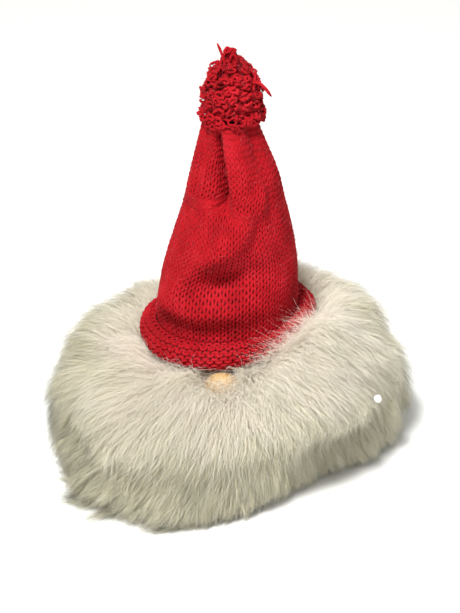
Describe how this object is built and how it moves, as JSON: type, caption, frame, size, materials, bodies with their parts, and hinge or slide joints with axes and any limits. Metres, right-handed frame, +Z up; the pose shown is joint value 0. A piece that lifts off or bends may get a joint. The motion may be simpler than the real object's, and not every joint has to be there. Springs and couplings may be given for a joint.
{
  "type": "tomte gnome figurine",
  "caption": "Free-standing folk-craft gnome: sheepskin body on a wooden foot, wooden bead nose, tall knitted red cap with a rolled brim that lifts off.",
  "frame": {"origin": "centre of the object's footprint, on the surface it stands on, under the felt", "axes": "+Z up, -Y towards the front, where the nose and the beard are, +X to the viewer's right"},
  "size_m": [0.1674, 0.1725, 0.1935],
  "materials": {
    "felt": "matt wool felt",
    "birch": "bare turned wood",
    "steel": "bright zinc",
    "wadding": "loose fibre",
    "hide": "suede",
    "wool": "long cream wool pile",
    "thread": "waxed linen",
    "pearl": "pearl gloss",
    "knit": "stocking stitch in red wool"
  },
  "bodies": {
    "body": {"base_felt": "felt", "base_board": "birch", "core_screw": "steel", "head_cone": "birch", "nose_peg": "birch", "nose_bead": "birch", "body_wadding": "wadding", "body_skin": "hide", "beard_skin": "hide", "body_fleece": "wool", "beard_fleece": "wool", "seam_thread_left": "thread", "seam_thread_right": "thread", "neck_cord": "thread", "pin_head": "pearl", "pin_shank": "steel"},
    "hat": {"knitted_hat": "knit", "crown_wadding": "wadding", "gather_thread": "knit", "crown_tuft": "knit"}
  },
  "joints": [
    {"name": "hat_lift", "type": "slide", "parent": "body", "child": "hat", "axis": [0, 0, 1], "range_m": [0, 0.09]}
  ]
}
